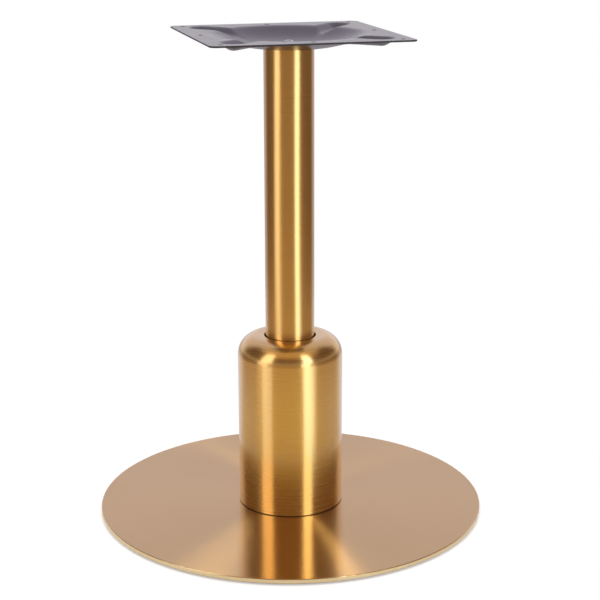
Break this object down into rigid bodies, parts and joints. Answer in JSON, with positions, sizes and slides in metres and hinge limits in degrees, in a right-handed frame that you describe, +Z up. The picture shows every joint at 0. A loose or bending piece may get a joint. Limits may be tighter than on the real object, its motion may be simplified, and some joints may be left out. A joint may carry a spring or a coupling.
{
  "type": "pedestal table base",
  "caption": "Pedestal table base: flat round brass-finish disc, bottle-shaped sleeve with a rounded shoulder, slim column and a pressed steel plate that is screwed under a table top.",
  "frame": {"origin": "on the floor, under the column's axis", "axes": "+Z up along the column; X and Y along the sides of the square top plate"},
  "size_m": [0.5799, 0.58, 0.72],
  "materials": {
    "brushed_brass": "brushed, clear lacquered",
    "grey_coating": "satin powder coat",
    "plain_steel": "turned",
    "zinc_steel": "zinc plated",
    "black_nylon": "matt moulded",
    "black_rubber": "matt"
  },
  "bodies": {
    "root": {"base_disc": "brushed_brass", "sleeve": "brushed_brass", "sleeve_gasket": "black_rubber", "column_tube": "brushed_brass", "top_plate": "grey_coating", "column_hub": "plain_steel", "column_plug": "plain_steel", "hub_screws": "zinc_steel", "tie_rod": "zinc_steel", "tie_washer": "zinc_steel", "tie_nut": "zinc_steel", "floor_glide_1": "black_nylon", "floor_glide_2": "black_nylon", "floor_glide_3": "black_nylon", "floor_glide_4": "black_nylon", "floor_glide_5": "black_nylon", "floor_glide_6": "black_nylon"}
  },
  "joints": []
}
